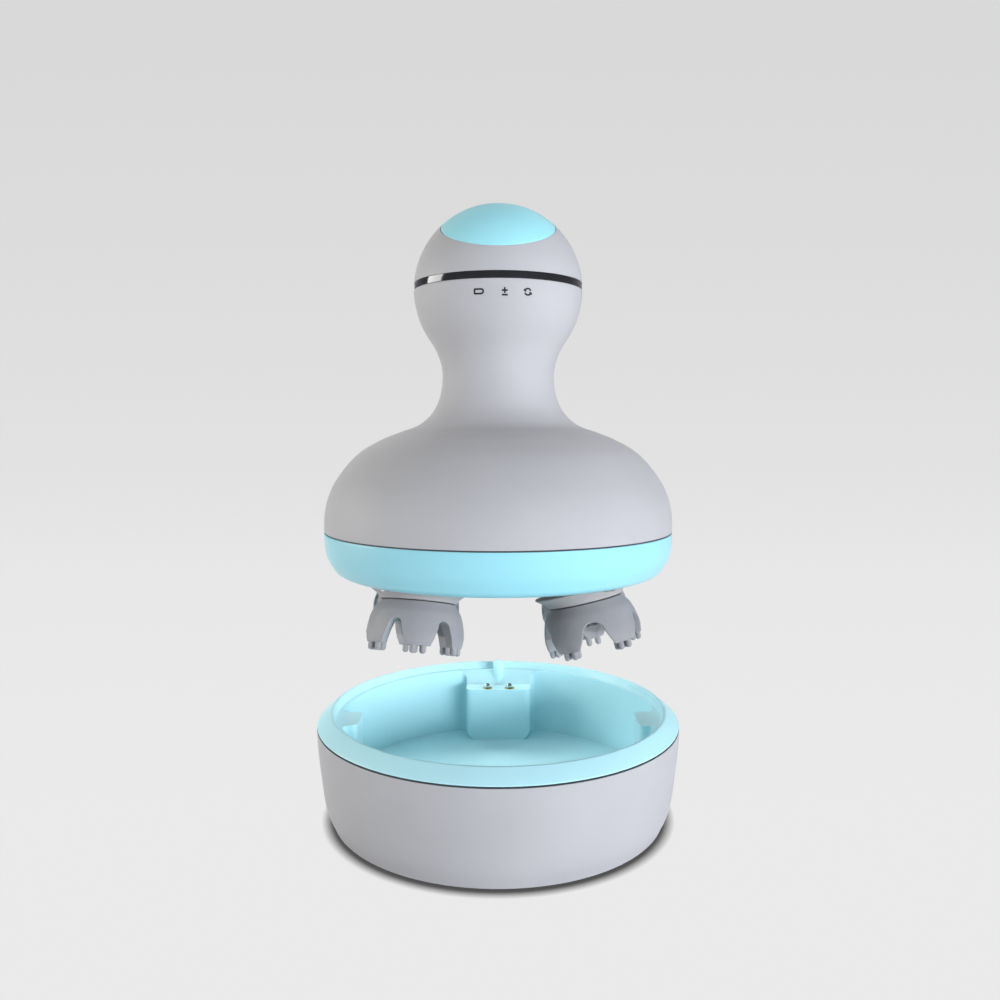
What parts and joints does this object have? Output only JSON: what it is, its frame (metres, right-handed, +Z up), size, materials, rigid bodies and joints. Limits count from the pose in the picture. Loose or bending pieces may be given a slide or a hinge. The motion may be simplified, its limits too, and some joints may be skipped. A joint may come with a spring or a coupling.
{
  "type": "electric scalp massager with charging dock",
  "caption": "Cordless scalp massager with swivelling soft-fingered claw heads, a knob grip with a press button, and a round charging dock",
  "frame": {"origin": "centre of the dock's footprint on the table", "axes": "+Z up along the axis of the dock and the massager, -Y towards the front, where the button is"},
  "size_m": [0.1104, 0.1104, 0.1844],
  "materials": {
    "dock_grey": "fine satin moulding",
    "dock_blue": "satin",
    "base_grey": "fine spark texture",
    "pad_rubber": "matt",
    "screw_steel": "plated",
    "board_green": "solder mask",
    "socket_steel": "bright",
    "gold_contact": "gold plated",
    "pin_silver": "polished",
    "housing_grey": "fine satin moulding",
    "band_black": "polished",
    "ring_blue": "satin",
    "seam_dark": "matt",
    "cap_blue": "satin",
    "spring_steel": "drawn wire",
    "switch_black": "matt",
    "inner_white": "matt",
    "light_white": "clear lens",
    "bush_bronze": "sintered",
    "gearbox_steel": "turned",
    "motor_steel": "drawn can",
    "cell_wrap": "shrink sleeve",
    "gear_cream": "greased acetal",
    "hub_dark": "matt",
    "skirt_grey": "silicone, matt",
    "claw_grey": "silicone, matt"
  },
  "bodies": {
    "dock": {"dock_liner": "dock_blue", "dock_shell": "dock_grey", "dock_base": "base_grey", "dock_foot_pads": "pad_rubber", "dock_screws": "screw_steel", "dock_circuit_board": "board_green", "dock_power_socket": "socket_steel", "dock_contact_board": "board_green", "dock_pin_barrels": "gold_contact"},
    "charging_pin_left": {"charging_pin_left": "pin_silver"},
    "charging_pin_right": {"charging_pin_right": "pin_silver"},
    "massager": {"base_plate": "base_grey", "upper_housing": "housing_grey", "knob_cover": "housing_grey", "indicator_band": "band_black", "lower_ring": "ring_blue", "seam_gasket": "seam_dark", "contact_pads": "gold_contact", "case_screws": "screw_steel", "button_switch": "switch_black", "switch_bracket": "inner_white", "control_board": "board_green", "status_lights": "light_white", "chassis_lower_plate": "inner_white", "chassis_upper_plate": "inner_white", "lower_bushes": "bush_bronze", "upper_bushes": "bush_bronze", "chassis_screws": "screw_steel", "gearbox": "gearbox_steel", "motor": "motor_steel", "motor_sleeve": "pad_rubber", "battery_cells": "cell_wrap", "battery_straps": "inner_white"},
    "power_button": {"button_cap": "cap_blue", "button_spring": "spring_steel"},
    "sun_drive": {"sun_gear": "gear_cream", "drive_shaft": "screw_steel"},
    "crank_front_left": {"crank_gear_front_left": "gear_cream", "crank_pin_front_left": "screw_steel"},
    "head_front_left": {"head_hub_front_left": "hub_dark", "head_skirt_front_left": "skirt_grey", "head_claw_front_left": "claw_grey"},
    "crank_front_right": {"crank_gear_front_right": "gear_cream", "crank_pin_front_right": "screw_steel"},
    "head_front_right": {"head_hub_front_right": "hub_dark", "head_skirt_front_right": "skirt_grey", "head_claw_front_right": "claw_grey"},
    "crank_back_left": {"crank_gear_back_left": "gear_cream", "crank_pin_back_left": "screw_steel"},
    "head_back_left": {"head_hub_back_left": "hub_dark", "head_skirt_back_left": "skirt_grey", "head_claw_back_left": "claw_grey"},
    "crank_back_right": {"crank_gear_back_right": "gear_cream", "crank_pin_back_right": "screw_steel"},
    "head_back_right": {"head_hub_back_right": "hub_dark", "head_skirt_back_right": "skirt_grey", "head_claw_back_right": "claw_grey"}
  },
  "joints": [
    {"name": "pin_right_press", "type": "slide", "parent": "dock", "child": "charging_pin_right", "axis": [0, 0, -1], "range_m": [0, 0.001], "stiffness_N_per_m": 300, "springref_m": -0.0005},
    {"name": "pin_left_press", "type": "slide", "parent": "dock", "child": "charging_pin_left", "axis": [0, 0, -1], "range_m": [0, 0.001], "stiffness_N_per_m": 300, "springref_m": -0.0005},
    {"name": "massager_lift", "type": "slide", "parent": "dock", "child": "massager", "axis": [0, 0, 1], "range_m": [-0.0441, 0.03]},
    {"name": "button_press", "type": "slide", "parent": "massager", "child": "power_button", "axis": [0, 0.4695, -0.8829], "range_m": [0, 0.001], "stiffness_N_per_m": 800, "springref_m": -0.0005, "deforming": ["button_spring"]},
    {"name": "sun_spin", "type": "hinge", "parent": "massager", "child": "sun_drive", "pos_m": [0, 0, 0.0935], "axis": [0, 0, 1], "continuous": true},
    {"name": "crank_front_left_spin", "type": "hinge", "parent": "massager", "child": "crank_front_left", "pos_m": [-0.0215, -0.016, 0.0835], "axis": [0, 0, 1], "continuous": true},
    {"name": "head_front_left_swivel", "type": "hinge", "parent": "crank_front_left", "child": "head_front_left", "pos_m": [-0.0215, -0.016, 0.0835], "axis": [0.0826, 0.2542, 0.9636], "continuous": true},
    {"name": "crank_front_right_spin", "type": "hinge", "parent": "massager", "child": "crank_front_right", "pos_m": [0.0215, -0.016, 0.0835], "axis": [0, 0, 1], "continuous": true},
    {"name": "head_front_right_swivel", "type": "hinge", "parent": "crank_front_right", "child": "head_front_right", "pos_m": [0.0215, -0.016, 0.0835], "axis": [-0.2314, 0.1336, 0.9636], "continuous": true},
    {"name": "crank_back_left_spin", "type": "hinge", "parent": "massager", "child": "crank_back_left", "pos_m": [-0.0215, 0.016, 0.0835], "axis": [0, 0, 1], "continuous": true},
    {"name": "head_back_left_swivel", "type": "hinge", "parent": "crank_back_left", "child": "head_back_left", "pos_m": [-0.0215, 0.016, 0.0835], "axis": [0.2047, 0.1718, 0.9636], "continuous": true},
    {"name": "crank_back_right_spin", "type": "hinge", "parent": "massager", "child": "crank_back_right", "pos_m": [0.0215, 0.016, 0.0835], "axis": [0, 0, 1], "continuous": true},
    {"name": "head_back_right_swivel", "type": "hinge", "parent": "crank_back_right", "child": "head_back_right", "pos_m": [0.0215, 0.016, 0.0835], "axis": [-0.2672, 0, 0.9636], "continuous": true}
  ],
  "couplings": [
    {"joint": "crank_front_left_spin", "follows": "sun_spin", "ratio": -0.86111},
    {"joint": "head_front_left_swivel", "follows": "sun_spin", "ratio": 0.86111},
    {"joint": "crank_front_right_spin", "follows": "sun_spin", "ratio": -0.86111},
    {"joint": "head_front_right_swivel", "follows": "sun_spin", "ratio": 0.86111},
    {"joint": "crank_back_left_spin", "follows": "sun_spin", "ratio": -0.86111},
    {"joint": "head_back_left_swivel", "follows": "sun_spin", "ratio": 0.86111},
    {"joint": "crank_back_right_spin", "follows": "sun_spin", "ratio": -0.86111},
    {"joint": "head_back_right_swivel", "follows": "sun_spin", "ratio": 0.86111}
  ]
}
